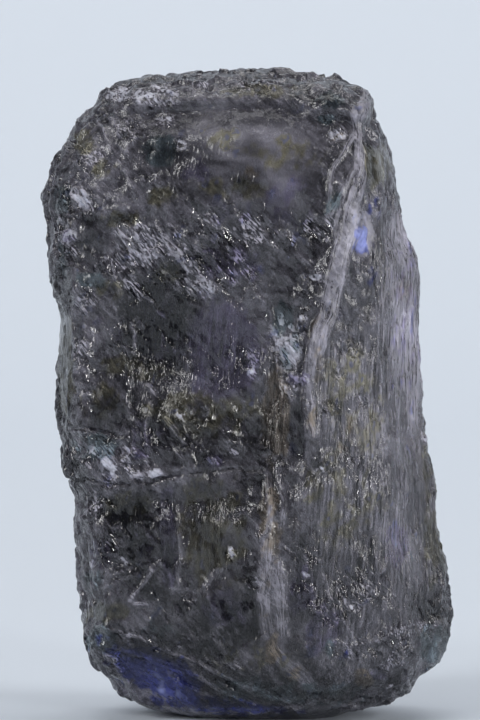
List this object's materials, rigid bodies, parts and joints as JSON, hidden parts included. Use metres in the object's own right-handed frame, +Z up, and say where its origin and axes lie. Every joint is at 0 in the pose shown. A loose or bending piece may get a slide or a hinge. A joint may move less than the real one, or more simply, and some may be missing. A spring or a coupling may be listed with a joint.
{
  "type": "iolite crystal",
  "caption": "Rough, stubby prism of dark iolite with broken ends, a worn front ridge and a small flat spot to stand on.",
  "frame": {"origin": "on the surface that the stone stands on, under the middle of its outline", "axes": "+Z up along the prism, -Y out of the front that the picture shows, +X to the right across that front"},
  "size_m": [0.0238, 0.0172, 0.0379],
  "materials": {
    "iolite": "satin"
  },
  "bodies": {
    "root": {"iolite_crystal": "iolite"}
  },
  "joints": []
}
